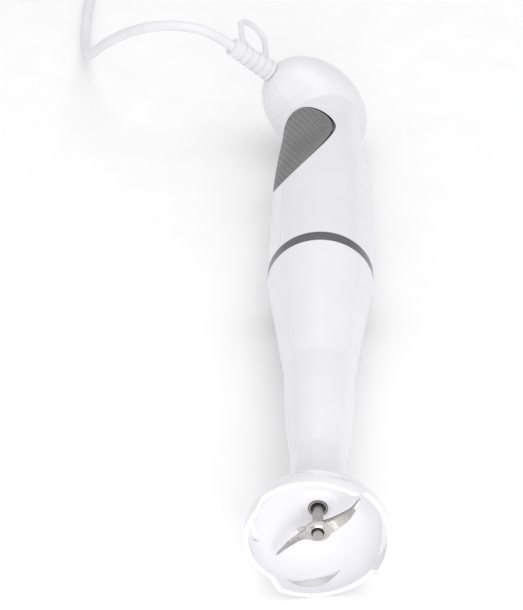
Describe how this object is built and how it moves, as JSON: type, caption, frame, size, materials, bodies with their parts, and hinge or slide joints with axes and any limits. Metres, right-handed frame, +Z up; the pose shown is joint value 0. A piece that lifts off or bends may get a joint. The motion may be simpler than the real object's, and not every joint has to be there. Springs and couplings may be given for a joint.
{
  "type": "hand blender",
  "caption": "White electric hand blender on its side: bell guard with blade, tapered arm, grey ring, round-headed handle, dimpled oval trigger, looped strain relief, coiled lead and plug.",
  "frame": {"origin": "on the table, under the centre of the box of the blender without its free lead", "axes": "+Y from the guard to the head, +Z up, trigger side turned 50 degrees from level towards -X and up"},
  "size_m": [0.2447, 0.6345, 0.0803],
  "materials": {
    "white_plastic": "glossy",
    "grip_rubber": "matte, dimpled",
    "ring_metal": "satin metallic grey",
    "stainless": "satin",
    "steel": "plain",
    "bronze": "sintered bronze",
    "copper": "enamelled copper",
    "magnet": "ferrite",
    "carbon": "graphite",
    "inner_plastic": "moulded",
    "board": "laminate",
    "foil": "film",
    "seal_rubber": "matte",
    "cord_pvc": "soft satin",
    "pin_metal": "nickel plated"
  },
  "bodies": {
    "housing": {"arm_bulkhead": "inner_plastic", "arm_shell": "white_plastic", "blade_guard": "white_plastic", "brush_springs": "bronze", "carbon_brushes": "carbon", "circuit_board": "board", "clamp_screws": "steel", "cord_clamp": "inner_plastic", "cord_coil": "cord_pvc", "cord_tube": "cord_pvc", "field_magnets": "magnet", "handle_screws": "steel", "handle_shell_left": "white_plastic", "handle_shell_right": "white_plastic", "lower_bush": "bronze", "lower_motor_mount": "seal_rubber", "motor_bearings": "bronze", "motor_can": "steel", "motor_end_cap": "inner_plastic", "plug_body": "cord_pvc", "plug_pins": "pin_metal", "power_switch": "inner_plastic", "rectifier": "carbon", "shaft_seal": "seal_rubber", "shaft_tube": "steel", "strain_relief": "cord_pvc", "supply_lead": "cord_pvc", "suppression_capacitor": "foil", "switch_bracket": "inner_plastic", "trigger_pin": "steel", "trigger_spring": "steel", "trim_ring": "ring_metal", "upper_bush": "bronze", "upper_motor_mount": "seal_rubber"},
    "rotor": {"armature_core": "steel", "armature_windings": "copper", "blade": "stainless", "commutator": "copper", "drive_shaft": "stainless", "motor_coupling": "inner_plastic", "motor_shaft": "steel", "shaft_coupling": "inner_plastic"},
    "trigger": {"trigger_pad": "grip_rubber", "trigger_lever": "inner_plastic"},
    "plunger": {"switch_plunger": "carbon"}
  },
  "joints": [
    {"name": "blade_spin", "type": "hinge", "parent": "housing", "child": "rotor", "pos_m": [0.00997, -0.19146, 0.03142], "axis": [0, 0.9998, -0.0218], "continuous": true},
    {"name": "trigger_press", "type": "hinge", "parent": "housing", "child": "trigger", "pos_m": [-0.00604, 0.05928, 0.03939], "axis": [-0.6428, -0.0167, -0.7659], "range_deg": [0, 2.2], "stiffness_Nm_per_rad": 2, "springref_deg": -3.44, "deforming": ["trigger_spring"]},
    {"name": "plunger_slide", "type": "slide", "parent": "housing", "child": "plunger", "axis": [0.766, -0.014, -0.6426], "range_m": [0, 0.0022]}
  ],
  "couplings": [
    {"joint": "plunger_slide", "follows": "trigger_press", "m_per_rad": 0.0535}
  ]
}
